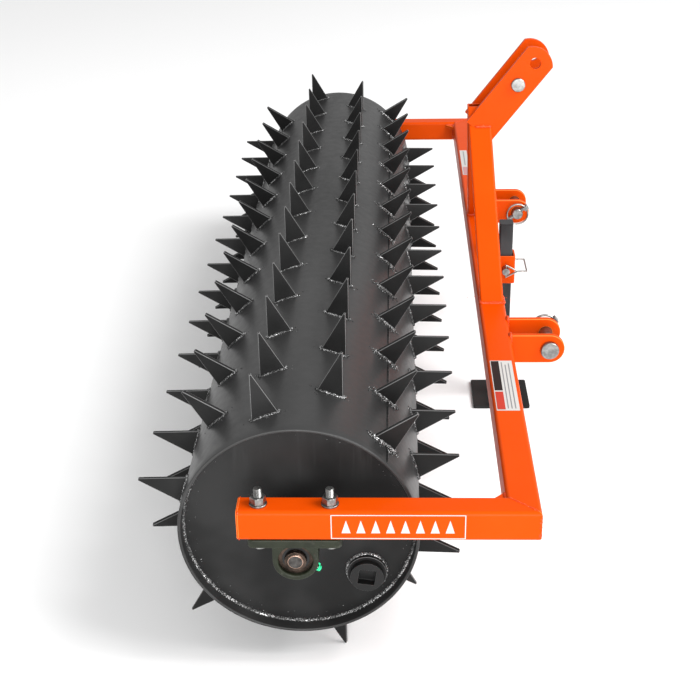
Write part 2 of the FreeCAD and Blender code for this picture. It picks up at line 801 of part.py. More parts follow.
# ---- all the nodes ---------------------------------------------------------------------
def nodes():
    """Every node's name and shape."""
    out = {
        "drum_shell": drum_shell(),
        "hub_discs": hub_discs(),
        "fill_boss": fill_boss(),
        "fill_plug": fill_plug(),
        "bearing_races": bearing_races(),
        "bearing_balls": bearing_balls(),
        "bearing_seals": bearing_seals(),
        "bearing_inner_rings": bearing_inner_rings(),
        "bearing_set_screws": bearing_set_screws(),
        "grease_nipples": grease_nipples(),
        "grease_caps": grease_caps(),
        "bearing_bolts": bearing_bolt_set(),
        "bearing_washers": bearing_washers(),
        "bearing_nuts": bearing_nuts(),
        "arm_end_caps": arm_end_caps(),
        "crossbar": crossbar(),
        "corner_gussets": corner_gussets(),
        "top_link_pin": top_pin(),
        "top_linch_pin": top_linch(linch_pin),
        "top_linch_loop": top_linch(linch_loop),
        "stand_sleeve": stand_sleeve(),
        "stand_leg": stand_leg(),
        "stand_leg_cap": stand_leg_cap(),
        "stand_foot": stand_foot(),
        "lock_pin": lock_pin(),
        "lock_bail": lock_bail(),
    }
    for index in range(row_count):
        out[f"spike_row_{index + 1:02d}"] = spike_row(index)
    for name, side in SIDES:
        out[f"end_plate_{name}"] = end_plate(side)
        out[f"stub_shaft_{name}"] = stub_shaft(side)
        out[f"bearing_housing_{name}"] = bearing_housing(side)
        out[f"side_arm_{name}"] = arm(side)
        out[f"mast_leg_{name}"] = mast_leg(side)
        out[f"top_link_plate_{name}"] = link_plate(side)
        out[f"outer_ear_{name}"] = ear(side, True)
        out[f"inner_ear_{name}"] = ear(side, False)
        out[f"lower_pin_{name}"] = lower_pin(side)
        out[f"lower_linch_pin_{name}"] = lower_linch(side, linch_pin)
        out[f"lower_linch_loop_{name}"] = lower_linch(side, linch_loop)
    return out


def main():
    os.makedirs("parts", exist_ok=True)
    for name, shape in nodes().items():
        shape.exportStep(f"parts/{name}.step")
    print(len(nodes()), "nodes written")


if __name__ == "__main__":
    main()
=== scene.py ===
# %% [markdown]
# # A drum spike aerator, from frame to finish
#
# The machine is a hollow steel drum with welded spikes. It turns in an orange frame that hangs on a
# tractor's three-point hitch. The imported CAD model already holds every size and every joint, so this
# lesson only adds what CAD leaves out: rounded edges, threads, weld beads, castings, paint and light.
#
# Each piece is built in the CAD model's own frame, in metres, so it needs no fitting afterwards.

import json
import math
import random

import bmesh
import bpy
from mathutils import Matrix, Vector, noise

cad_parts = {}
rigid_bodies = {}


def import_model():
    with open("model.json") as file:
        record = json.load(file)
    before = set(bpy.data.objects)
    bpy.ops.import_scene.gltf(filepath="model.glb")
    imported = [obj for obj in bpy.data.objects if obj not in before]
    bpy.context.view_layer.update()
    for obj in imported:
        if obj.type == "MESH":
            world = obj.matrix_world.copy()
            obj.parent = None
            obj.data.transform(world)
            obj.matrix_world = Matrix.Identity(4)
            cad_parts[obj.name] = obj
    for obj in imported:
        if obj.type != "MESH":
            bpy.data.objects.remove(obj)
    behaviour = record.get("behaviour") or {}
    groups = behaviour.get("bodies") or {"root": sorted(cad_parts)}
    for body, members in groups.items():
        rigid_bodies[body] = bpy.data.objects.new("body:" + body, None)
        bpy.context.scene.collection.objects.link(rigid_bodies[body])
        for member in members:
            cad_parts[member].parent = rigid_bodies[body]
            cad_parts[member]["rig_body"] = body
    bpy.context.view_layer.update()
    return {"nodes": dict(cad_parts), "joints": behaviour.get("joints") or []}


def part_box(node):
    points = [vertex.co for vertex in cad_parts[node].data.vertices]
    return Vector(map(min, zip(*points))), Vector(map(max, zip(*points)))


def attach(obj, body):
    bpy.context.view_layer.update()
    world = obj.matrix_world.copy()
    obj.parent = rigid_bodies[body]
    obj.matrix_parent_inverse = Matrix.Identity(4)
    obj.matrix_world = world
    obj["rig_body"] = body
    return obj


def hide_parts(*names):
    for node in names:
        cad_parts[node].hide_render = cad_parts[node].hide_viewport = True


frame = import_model()
joints = {joint["name"]: joint for joint in frame["joints"]}

# %% [markdown]
# ## Where things are
#
# Places come from the CAD nodes' boxes and the joints' positions. Nothing below repeats a place that
# the frame already knows, so a change in the CAD model moves the looks with it.

# %% Read the main places from the frame
MM = 0.001


def low(node):
    """Lowest corner of a CAD node."""
    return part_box(node)[0]


def high(node):
    """Highest corner of a CAD node."""
    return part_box(node)[1]


def middle(node):
    return (low(node) + high(node)) / 2


axle = Vector(joints["drum_spin"]["pos_m"])
drum_end = high("drum_shell").y
drum_r = (high("drum_shell").x - low("drum_shell").x) / 2
arm_top = high("side_arm_right").z
arm_low = low("side_arm_right").z
bar_front = high("crossbar").x
bar_back = low("crossbar").x
sides = {"left": 1, "right": -1}
print("drum radius", round(drum_r, 4), "half length", round(drum_end, 3))

# %% [markdown]
# ## Shader maths as plain expressions
#
# A material is a graph of nodes, and a graph is hard to read as code. `Value` wraps one output socket
# and lets it be added, multiplied or compared, so a mask can be written as `1 - rust * 0.4`. Every
# other node comes from `Finish.node`, which takes the node's type, its settings and its inputs.

# %% The socket wrapper and the material builder
class Value:
    """One output socket of a shader graph, used like a number."""

    def __init__(self, finish, socket):
        self.finish = finish
        self.socket = socket

    def math(self, operation, *terms):
        return self.finish.node(
            "ShaderNodeMath", {"operation": operation}, dict(enumerate(terms))
        )

    def __add__(self, other):
        return self.math("ADD", self, other)

    def __sub__(self, other):
        return self.math("SUBTRACT", self, other)

    def __rsub__(self, other):
        return self.math("SUBTRACT", other, self)

    def __mul__(self, other):
        return self.math("MULTIPLY", self, other)

    def __truediv__(self, other):
        return self.math("DIVIDE", self, other)

    def __gt__(self, other):
        return self.math("GREATER_THAN", self, other)

    def __lt__(self, other):
        return self.math("LESS_THAN", self, other)

    __radd__ = __add__
    __rmul__ = __mul__


class Finish:
    """A material under construction: a Principled shader and the nodes that feed it."""

    def __init__(self, name, **fixed):
        self.material = bpy.data.materials.new(name)
        self.material.use_nodes = True
        self.tree = self.material.node_tree
        self.shader = self.tree.nodes["Principled BSDF"]
        for socket, value in fixed.items():
            self.shader.inputs[socket.replace("_", " ")].default_value = value

    def node(self, kind, settings=None, inputs=None, output=0):
        """A node of any type; settings come first, then the values or links of its sockets."""
        made = self.tree.nodes.new(kind)
        for key, value in (settings or {}).items():
            if key == "stops":
                for index, (place, grey) in enumerate(value):
                    if index > 1:
                        made.color_ramp.elements.new(place)
                    stop = made.color_ramp.elements[index]
                    stop.position = place
                    stop.color = (grey, grey, grey, 1)
            else:
                setattr(made, key, value)
        for key, value in (inputs or {}).items():
            if isinstance(value, Value):
                self.tree.links.new(value.socket, made.inputs[key])
            else:
                made.inputs[key].default_value = value
        return Value(self, made.outputs[output])

    def feed(self, socket, value):
        """Link a value that changes over the surface to the shader."""
        self.tree.links.new(value.socket, self.shader.inputs[socket])

    def place(self):
        """Position on the piece, in metres in the machine's own frame."""
        return self.node("ShaderNodeTexCoord", output=3)

    def part_of(self, axis):
        """One coordinate of the position."""
        return self.node("ShaderNodeSeparateXYZ", None, {0: self.place()}, "XYZ".index(axis))

    def grain(self, scale, detail=4.0, rough=0.55, stretch=(1, 1, 1)):
        """Cloudy noise; scale counts blotches per metre, stretch squeezes them along an axis."""
        where = self.place()
        if stretch != (1, 1, 1):
            where = self.node(
                "ShaderNodeVectorMath", {"operation": "MULTIPLY"}, {0: where, 1: stretch}
            )
        inputs = {"Vector": where, "Scale": scale, "Detail": detail, "Roughness": rough}
        return self.node("ShaderNodeTexNoise", None, inputs)

    def band(self, value, start, end):
        """0 below start, 1 above end, smooth between; start may be the larger one."""
        settings = {"interpolation_type": "SMOOTHSTEP"}
        inputs = {0: value, 1: start, 2: end, 3: 0.0, 4: 1.0}
        return self.node("ShaderNodeMapRange", settings, inputs)

    def mix(self, share, first, second):
        """Colour blend: first where share is 0, second where it is 1."""
        colours = {6: first, 7: second}
        for key, colour in colours.items():
            if not isinstance(colour, Value):
                colours[key] = (*colour, 1.0) if len(colour) == 3 else colour
        return self.node("ShaderNodeMix", {"data_type": "RGBA"}, {0: share, **colours}, 2)

    def bump(self, height, strength, distance, under=None):
        """Surface relief from a height value, on top of another relief if there is one."""
        inputs = {"Height": height, "Strength": strength, "Distance": distance}
        if under is not None:
            inputs["Normal"] = under
        return self.node("ShaderNodeBump", None, inputs)

    def edges(self, start=0.51, end=0.56):
        """Mask of convex edges, where finish wears first."""
        pointiness = self.node("ShaderNodeNewGeometry", output=7)
        return self.band(pointiness, start, end)


print("shader helpers ready")

# %% [markdown]
# ## The finishes
#
# The frame is powder coated: a thick, even, slightly rubbery skin with a faint orange-peel surface. Two
# sizes of noise make it: a fine one for the peel and a wide one for the way a tube wall is never flat.
# Sharp edges get a painted highlight: a second, lighter copy of the coat goes on their bevels and stands
# in for the light that their small radius catches.

# %% Orange powder coat
def orange_coat(name, deep, bright):
    """Bright powder coat with orange peel and a cloudy tone."""
    made = Finish(name, Coat_Roughness=0.2, Specular_IOR_Level=0.05)
    cloud = made.grain(9, 3)
    dust = made.grain(55, 5, 0.7)
    colour = made.mix(cloud, deep, bright)
    colour = made.mix(made.band(dust, 0.62, 0.85) * 0.25, colour, (0.40, 0.030, 0.002))
    made.feed("Base Color", colour)
    made.feed("Roughness", made.grain(140, 3) * 0.14 + 0.30)
    made.feed("Coat Weight", cloud * 0.05)
    peel = made.bump(made.grain(900, 2), 0.10, 0.0004)
    made.feed("Normal", made.bump(made.grain(16, 2), 0.12, 0.004, peel))
    return made.material


orange = orange_coat("orange_powder_coat", (0.56, 0.050, 0.0002), (0.62, 0.062, 0.0006))
# The edge copy is paler: a painted highlight along every bevel.
orange_edge_highlight = orange_coat("orange_edge_highlight", (0.80, 0.15, 0.02), (0.90, 0.24, 0.06))
print("made", orange.name, orange_edge_highlight.name)

# %% [markdown]
# The drum is painted charcoal. Big rolled sheet is never quite even: tone drifts in bands along the drum,
# partly its own tone and partly painted sheen that stands in for the light and dark reflection bands of
# its gloss; faint upright runs of paint show on the end plates, and handling leaves fine pale scuffs. One
# function makes the drum's, the plates' and the stand's paint, because only tone and gloss differ. Some of
# these are darker or paler copies of the drum's paint, as painted shade or painted highlight.

# %% Charcoal and dark grey paint
def dark_coat(name, tone, gloss, shine=0.16, runs=0.0):
    """Satin dark paint; runs adds upright streaks."""
    made = Finish(name, Coat_Roughness=0.3, Specular_IOR_Level=shine)
    # Noise stretched along the drum makes long bands: tone drift and painted sheen.
    cloud = made.grain(9, 2, 0.5, (1, 0.10, 1))
    fine = made.grain(260, 4, 0.7)
    # The lighter band tone is partly drift and partly painted sheen.
    light = tuple(c * 1.9 for c in tone)
    colour = made.mix(made.band(cloud, 0.40, 0.62), tone, light)
    colour = made.mix(made.band(fine, 0.60, 0.80) * 0.22, colour, tuple(c * 2.6 for c in tone))
    if runs:
        streak = made.band(made.grain(48, 3, 0.6, (1, 1, 0.10)), 0.54, 0.68)
        upper = made.band(made.part_of("Z"), axle.z + 0.06, axle.z + 0.14)
        colour = made.mix(streak * upper * runs, colour, tuple(c * 3.2 for c in tone))
    made.feed("Base Color", colour)
    made.feed("Roughness", made.grain(75, 4) * 0.22 + gloss)
    made.feed("Coat Weight", made.band(cloud, 0.3, 0.7) * 0.14)
    peel = made.bump(made.grain(700, 2), 0.12, 0.0005)
    made.feed("Normal", made.bump(made.grain(11, 2, 0.5, (1, 0.6, 1)), 0.10, 0.006, peel))
    return made.material


charcoal = dark_coat("charcoal_paint", (0.014, 0.014, 0.014), 0.33, 0.32)
# A paler copy for the bevels of spikes, boss and plug: a painted highlight on their edges.
charcoal_edge_highlight = dark_coat("charcoal_edge_highlight", (0.065, 0.065, 0.065), 0.30, 0.4)
# The end plates' copy is darker: painted shade under the arms, with paint runs on their upper part.
plate_shaded_paint = dark_coat("end_plate_shaded_paint", (0.0095, 0.0095, 0.0095), 0.42, 0.12, 0.6)
# The spikes' copy is darker still: painted shade on their sides.
spike_shaded_paint = dark_coat("spike_shaded_paint", (0.0065, 0.0065, 0.0065), 0.36, 0.12)
plug_paint = dark_coat("plug_paint", (0.008, 0.008, 0.008), 0.28, 0.22)
stand_paint = dark_coat("stand_paint", (0.018, 0.019, 0.020), 0.34, 0.20)
print("made", charcoal.name, plate_shaded_paint.name, spike_shaded_paint.name, stand_paint.name)

# %% [markdown]
# Zinc plate is bright and slightly milky, with cloudy passivation. Spring wire is the same metal
# drawn smooth. The turned shaft end shows fine rings round its own axis.

# %% Metals
def metal(name, dark, bright, rough, scale=120, rings=None):
    """Bare or plated metal; rings gives turning marks round a line along Y through that point."""
    made = Finish(name, Metallic=1.0, Specular_IOR_Level=0.5)
    cloud = made.grain(scale, 4, 0.6)
    spots = made.grain(scale * 9, 3, 0.6)
    colour = made.mix(made.band(cloud, 0.3, 0.7), dark, bright)
    colour = made.mix(made.band(spots, 0.62, 0.78) * 0.35, colour, tuple(c * 0.5 for c in dark))
    made.feed("Base Color", colour)
    made.feed("Roughness", cloud * 0.22 + spots * 0.1 + rough)
    relief = made.bump(spots, 0.10, 0.0002)
    if rings:
        dx = made.part_of("X") - rings[0]
        dz = made.part_of("Z") - rings[2]
        radius = dx.math("SQRT", dx * dx + dz * dz)
        marks = radius.math("SINE", radius * 9000)
        relief = made.bump(marks, 0.12, 0.0002, relief)
    made.feed("Normal", relief)
    return made.material


zinc = metal("zinc_plate", (0.16, 0.16, 0.157), (0.33, 0.33, 0.32), 0.20)
wire_steel = metal("spring_wire", (0.20, 0.19, 0.18), (0.40, 0.38, 0.36), 0.16, 300)
shaft_steel = metal("shaft_end", (0.045, 0.042, 0.040), (0.10, 0.095, 0.09), 0.30, 90, axle)
ring_steel = metal("bearing_ring", (0.030, 0.024, 0.020), (0.10, 0.070, 0.055), 0.26, 60, axle)
ring_edge = metal("ring_edge", (0.30, 0.19, 0.14), (0.48, 0.32, 0.25), 0.22, 150)
print("made", zinc.name, wire_steel.name, shaft_steel.name, ring_steel.name)

# %% [markdown]
# The bearing block is a sand casting under one coat of olive enamel, so its relief is coarse. Rubber
# and plastic are plain, but they still have a moulded grain and a little dust.

# %% Casting, rubber and plastics
def moulded(name, tone, rough, grain_scale, depth, dust=0.12):
    """Cast or moulded surface: grainy relief and dust that settles in patches."""
    made = Finish(name, Specular_IOR_Level=0.18, Coat_Roughness=0.25)
    patch = made.grain(grain_scale * 0.12, 4, 0.6)
    colour = made.mix(made.band(patch, 0.3, 0.7), tone, tuple(c * 1.5 for c in tone))
    dusty = made.band(made.grain(grain_scale * 0.3, 5, 0.7), 0.55, 0.8) * dust
    colour = made.mix(dusty, colour, (0.30, 0.29, 0.26))
    made.feed("Base Color", made.mix(made.edges() * 0.3, colour, tuple(c * 3 for c in tone)))
    made.feed("Roughness", patch * 0.15 + rough)
    made.feed("Coat Weight", patch * 0.1)
    made.feed("Normal", made.bump(made.grain(grain_scale, 3, 0.6), 0.45, depth))
    return made.material


casting = moulded("olive_casting", (0.011, 0.0135, 0.0075), 0.42, 420, 0.0008)
rubber = moulded("seal_rubber", (0.012, 0.012, 0.012), 0.40, 900, 0.0002, 0.05)
green_plastic = moulded("cap_plastic", (0.02, 0.42, 0.19), 0.38, 700, 0.0002, 0.05)
black_plastic = moulded("black_plastic", (0.014, 0.014, 0.015), 0.30, 800, 0.0002, 0.06)
print("made", casting.name, rubber.name, green_plastic.name, black_plastic.name)

# %% [markdown]
# Welds are painted over, but their ripples catch the light, painted in here as bright specks, and the
# spatter round them stays bright.
# Height decides: where noise is high the bead shows pale or metallic, elsewhere it is the paint.

# %% Welds
def weld_coat(name, paint, bright, metallic, share):
    """Painted weld with bright high spots, part bare spatter and part painted glint; share is how much of
    it is bright, 0 to 1.
    """
    made = Finish(name, Specular_IOR_Level=0.25, Coat_Roughness=0.1)
    speck = made.band(made.grain(520, 3, 0.7), 0.66 - 0.3 * share, 0.74 - 0.3 * share)
    patchy = made.band(made.grain(38, 3, 0.6), 0.42, 0.62)
    # shine is bare spatter plus painted glints on the ripples.
    shine = speck * (patchy * 0.75 + 0.25)
    made.feed("Base Color", made.mix(shine, paint, bright))
    if metallic:
        made.feed("Metallic", shine * metallic)
    made.feed("Roughness", 0.34 - shine * 0.12)
    made.feed("Coat Weight", patchy * 0.12)
    made.feed("Normal", made.bump(made.grain(900, 3), 0.35, 0.0006))
    return made.material


frame_weld = weld_coat("frame_weld", (0.56, 0.043, 0.001), (0.85, 0.36, 0.18), 0.0, 0.25)
drum_weld = weld_coat("drum_weld", (0.013, 0.013, 0.013), (0.62, 0.62, 0.62), 0.6, 0.52)
seam_weld = weld_coat("seam_weld", (0.010, 0.010, 0.010), (0.16, 0.16, 0.16), 0.5, 0.1)
print("made", frame_weld.name, drum_weld.name, seam_weld.name)

# %% [markdown]
# Decals are printed vinyl: a smooth film with a slight gloss. Only plain marks are printed on them.

# %% Printed films and inner parts
def film(name, tone, rough=0.3):
    """Printed vinyl: nearly even colour, with print grain and a slight ripple."""
    made = Finish(name, Specular_IOR_Level=0.15)
    worn = made.band(made.grain(90, 5, 0.7), 0.6, 0.85) * 0.2
    made.feed("Base Color", made.mix(worn, tone, tuple(c * 0.8 for c in tone)))
    made.feed("Roughness", made.grain(60, 3) * 0.15 + rough)
    made.feed("Normal", made.bump(made.grain(45, 2), 0.15, 0.001))
    return made.material


white_film = film("white_film", (0.50, 0.49, 0.47))
black_film = film("black_film", (0.008, 0.008, 0.008))
red_film = film("red_film", (0.42, 0.035, 0.02))
grey_film = film("grey_film", (0.20, 0.20, 0.21))
pink_film = film("pink_film", (0.45, 0.22, 0.22))

# %% [markdown]
# ## From CAD faces to real edges
#
# A CAD edge is perfectly sharp, and no real edge is. Light that runs along a tiny radius is what makes
# cut plate and tube look like metal. So each CAD node is copied, its flat triangles are merged, and its
# edges get a small bevel. Weighted normals keep the large faces flat beside the bevel.

# %% Helpers that finish a piece
body_of = {node: piece["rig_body"] for node, piece in frame["nodes"].items()}


def dress(piece, finish, slot, body, *nodes):
    """Finish, body and the CAD nodes that the piece stands for; slot is not used."""
    if not piece.data.materials:
        piece.data.materials.append(finish)
    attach(piece, body)
    if nodes:
        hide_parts(*nodes)
    return piece


def solid(name, bm):
    """Smooth-shaded object from a bmesh."""
    bmesh.ops.recalc_face_normals(bm, faces=bm.faces)
    mesh = bpy.data.meshes.new(name)
    bm.to_mesh(mesh)
    bm.free()
    mesh.polygons.foreach_set("use_smooth", [True] * len(mesh.polygons))
    piece = bpy.data.objects.new(name, mesh)
    bpy.context.scene.collection.objects.link(piece)
    return piece


def settle(piece):
    """Apply all of a piece's modifiers."""
    graph = bpy.context.evaluated_depsgraph_get()
    result = bpy.data.meshes.new_from_object(piece.evaluated_get(graph))
    piece.modifiers.clear()
    piece.data = result
    return piece


def soften(node, width, finish, slot, segments=2, edge=None):
    """Copy of a CAD node with bevelled edges, in their own finish if there is one."""
    bm = bmesh.new()
    bm.from_mesh(frame["nodes"][node].data)
    bmesh.ops.remove_doubles(bm, verts=bm.verts, dist=2e-6)
    bmesh.ops.dissolve_degenerate(bm, dist=1e-4, edges=bm.edges)
    bmesh.ops.dissolve_limit(
        bm, angle_limit=math.radians(0.5), verts=bm.verts, edges=bm.edges
    )
    piece = solid("soft_" + node, bm)
    piece.data.materials.append(finish)
    # The bevels take the edge finish; where that is a paler copy of a paint, it is a painted highlight.
    piece.data.materials.append(edge or finish)
    bevel = piece.modifiers.new("edge", "BEVEL")
    bevel.width = width
    bevel.segments = segments
    bevel.material = 1
    bevel.limit_method = "ANGLE"
    bevel.angle_limit = math.radians(38)
    piece.modifiers.new("flats", "WEIGHTED_NORMAL")
    return dress(settle(piece), finish, slot, body_of[node], node)


print("helpers ready")

# %% [markdown]
# Round parts that need more shape than their CAD node has are turned on a lathe: a profile of radius
# and distance pairs, swept round an axis.

# %% The lathe
def lathe(bm, profile, centre, axis, segments=48, shape=None):
    """Sweep (radius, distance) pairs round an axis; shape(angle, radius, distance) may edit the radius."""
    axis = axis.normalized()
    side = axis.orthogonal().normalized()
    if abs(axis.z) < 0.5:
        side = axis.cross(Vector((0, 0, 1))).normalized()
    up = side.cross(axis)
    rings = []
    for radius, distance in profile:
        ring = []
        for i in range(segments):
            angle = math.tau * i / segments
            r = shape(angle, radius, distance) if shape else radius
            way = side * math.cos(angle) + up * math.sin(angle)
            ring.append(bm.verts.new(centre + axis * distance + way * r))
        rings.append(ring)
    for first, second in zip(rings, rings[1:]):
        for i in range(segments):
            j = (i + 1) % segments
            bm.faces.new((first[i], first[j], second[j], second[i]))
    return rings


def capped(bm, rings):
    """Close both ends of a lathed form."""
    bm.faces.new(rings[0])
    bm.faces.new(rings[-1])


print("lathe ready")

# %% [markdown]
# ## Weld beads
#
# A weld is a row of overlapping drops. Here it is a rod that follows the joint, sunk to its middle. Its
# radius swells once per drop and wanders with noise, so it catches light in ripples.

# %% Bead and spatter
def spaced(path, step, closed):
    """Points at even steps along a path of straight runs."""
    ends = path + path[:1] if closed else path
    points = []
    for a, b in zip(ends, ends[1:]):
        count = max(2, round((b - a).length / step))
        points += [a.lerp(b, i / count) for i in range(count)]
    return points if closed else points + [ends[-1]]


def bead(bm, path, up, size, closed=False, step=0.0017, sides=7):
    """Lumpy weld bead along a path; up is any direction that's square to the path."""
    points = spaced(path, step, closed)
    count = len(points)
    rings = []
    for i, point in enumerate(points):
        ahead = points[(i + 1) % count] if closed else points[min(i + 1, count - 1)]
        behind = points[i - 1] if closed or i else points[0]
        side = (ahead - behind).normalized().cross(up).normalized()
        lift = up.normalized()
        drop = 0.16 * abs(math.sin(i * 1.15)) + 0.35 * noise.noise(point * 260)
        r = size * (0.9 + drop)
        if not closed:
            r *= min(1, 0.35 + 0.3 * min(i, count - 1 - i))
        turns = [math.tau * k / sides for k in range(sides)]
        rings.append(
            [bm.verts.new(point + (side * math.cos(t) + lift * math.sin(t)) * r) for t in turns]
        )
    pairs = list(zip(rings, rings[1:])) + ([(rings[-1], rings[0])] if closed else [])
    for first, second in pairs:
        for k in range(sides):
            n = (k + 1) % sides
            bm.faces.new((first[k], first[n], second[n], second[k]))
    if not closed:
        capped(bm, rings)


def drops(bm, places, rng, small=0.00035, large=0.0009):
    """A bead of spatter at each place."""
    for place in places:
        size = rng.uniform(small, large)
        bmesh.ops.create_icosphere(
            bm, subdivisions=1, radius=size, matrix=Matrix.Translation(place)
        )


print("weld helpers ready")

# %% [markdown]
# ## The drum
#
# The skin is one sheet, rolled and closed with a long weld. Rolling leaves the last few centimetres at
# both ends of the sheet flatter, so the drum is faintly flat beside its seam. The skin's radius is
# edited by angle for that, with a little waviness, and the rim's edge is rounded.

# %% Drum skin and seam
seam_at = math.radians(47.4)
wall = 0.005


def on_drum(angle, y, out=0.0):
    """Point on the drum; the angle is from the top towards the front."""
    r = drum_r + out
    return Vector((axle.x + r * math.sin(angle), y, axle.z + r * math.cos(angle)))


def skin_radius(angle, radius, distance):
    """Flat bands beside the seam and slight waves; the inner face stays round."""
    if radius < drum_r - 0.002:
        return radius
    away = abs((angle - seam_at + math.pi) % math.tau - math.pi)
    flat = 0.0007 * math.exp(-((away / 0.15) ** 2))
    here = on_drum(angle, distance)
    return radius - flat - 0.00035 * (0.5 + noise.noise(here * 3.1)) - 0.0001


def drum_skin():
    bm = bmesh.new()
    inner = drum_r - wall
    edge = 0.0014
    profile = [(inner, -drum_end + edge), (inner + edge * 0.3, -drum_end + edge * 0.3)]
    profile += [(inner + edge, -drum_end), (drum_r - edge, -drum_end)]
    profile += [(drum_r - edge * 0.3, -drum_end + edge * 0.3), (drum_r, -drum_end + edge)]
    steps = 110
    span = 2 * (drum_end - edge)
    outer = [(drum_r, -drum_end + edge + span * i / steps) for i in range(1, steps)]
    profile += outer + [(r, -y) for r, y in reversed(profile)]
    rings = lathe(bm, profile, Vector((axle.x, 0, axle.z)), Vector((0, 1, 0)), 360, from_top)
    for i in range(360):
        j = (i + 1) % 360
        bm.faces.new((rings[-1][i], rings[-1][j], rings[0][j], rings[0][i]))
    return solid("drum_skin", bm)


def from_top(angle, radius, distance):
    """The lathe starts at the side and turns towards the top; the skin counts from the top."""
    return skin_radius((lathe_start + lathe_turn * angle) % math.tau, radius, distance)


side = Vector((0, 1, 0)).cross(Vector((0, 0, 1)))
rise = side.cross(Vector((0, 1, 0)))
lathe_start = math.atan2(side.x, side.z)
lathe_turn = 1 if math.sin(math.atan2(rise.x, rise.z) - lathe_start) > 0 else -1

skin = dress(drum_skin(), charcoal, "drum_paint", "drum", "drum_shell")
bm = bmesh.new()
bead(
    bm, [on_drum(seam_at, y * drum_end * 0.997, -0.0012) for y in (-1, 1)],
    on_drum(seam_at, 0) - Vector((axle.x, 0, axle.z)), 0.0022, step=0.003,
)
seam = dress(solid("drum_seam", bm), seam_weld, "drum_paint", "drum")
print("drum skin has", len(skin.data.polygons), "faces")

# %% [markdown]
# Each end plate sits inside the rim on a ring of weld, with another ring round the shaft and one round
# the filler's boss.

# %% End plates and their welds
def ring_path(centre, radius, count=120):
    turns = [math.tau * i / count for i in range(count)]
    return [centre + Vector((math.sin(t), 0, math.cos(t))) * radius for t in turns]


plate_out = low("end_plate_right").y
for name, way in sides.items():
    soften("end_plate_" + name, 0.0005, plate_shaded_paint, "drum_paint")
    face = Vector((axle.x, -plate_out * way, axle.z))
    bm = bmesh.new()
    shaft = (high("stub_shaft_" + name).x - low("stub_shaft_" + name).x) / 2
    bead(bm, ring_path(face, drum_r - wall - 0.0004), Vector((0, 1, 0)), 0.0034, True)
    bead(bm, ring_path(face, shaft, 40), Vector((0, 1, 0)), 0.0032, True)
    rng = random.Random(11 + way)
    bits = []
    for i in range(170):
        t = rng.uniform(0, math.tau)
        r = drum_r - wall - 0.003 - rng.random() ** 2 * 0.016
        bits.append(face + Vector((math.sin(t) * r, 0, math.cos(t) * r)))
    drops(bm, bits, rng, 0.0003, 0.0008)
    dress(solid("plate_weld_" + name, bm), drum_weld, "drum_paint", "drum")
    soften("stub_shaft_" + name, 0.0005, shaft_steel, "shaft_steel", 2, ring_edge)
bm = bmesh.new()
boss = middle("fill_boss")
boss_r = (high("fill_boss").x - low("fill_boss").x) / 2
bead(bm, ring_path(Vector((boss.x, plate_out, boss.z)), boss_r, 80), Vector((0, 1, 0)), 0.0030, True)
dress(solid("boss_weld", bm), drum_weld, "drum_paint", "drum")
# The boss's and the plug's bevels take the paler edge paint: a painted highlight round their rims.
soften("fill_boss", 0.0008, plate_shaded_paint, "drum_paint", 2, charcoal_edge_highlight)
soften("fill_plug", 0.0009, plug_paint, "plug_steel", 3, charcoal_edge_highlight)
print("end plates done")

# %% [markdown]
# ## The spikes
#
# Each spike is cut from 6 mm plate, so its edges are crisp with a small radius, and that radius carries a
# painted highlight. The feet of the spikes are found in the CAD mesh itself: the vertices that touch the
# drum give each foot's middle and twist. A bead then runs round the foot, heavier at the ends, with
# spatter on the skin beside it.

# %% Find the feet of a row
def feet_of(node):
    """(angle, y, half length, half width, twist) of each spike's foot in a row."""
    touching = []
    for vertex in frame["nodes"][node].data.vertices:
        x, z = vertex.co.x - axle.x, vertex.co.z - axle.z
        if math.hypot(x, z) < drum_r + 0.0003:
            touching.append((vertex.co.y, math.atan2(x, z)))
    touching.sort()
    groups = [[touching[0]]]
    for before, point in zip(touching, touching[1:]):
        if point[0] - before[0] > 0.05:
            groups.append([])
        groups[-1].append(point)
    feet = []
    for group in groups:
        y0 = (min(p[0] for p in group) + max(p[0] for p in group)) / 2
        a0 = (min(p[1] for p in group) + max(p[1] for p in group)) / 2
        around = [((a - a0) * drum_r, y - y0) for y, a in group]
        twist = math.radians(10) * (1 if sum(u * v for u, v in around) > 0 else -1)
        c, s = math.cos(twist), math.sin(twist)
        half_long = max(u * c + v * s for u, v in around)
        half_wide = max(v * c - u * s for u, v in around)
        feet.append((a0, y0, half_long, half_wide, twist))
    return feet


print("first foot of row 2:", [round(v, 4) for v in feet_of("spike_row_02")[0]])

# %% [markdown]
# Each spike keeps its CAD shape and gets a small bevel, because cut plate never has a perfect edge.
# One short bead runs round each foot, and drops of spatter lie beside it.

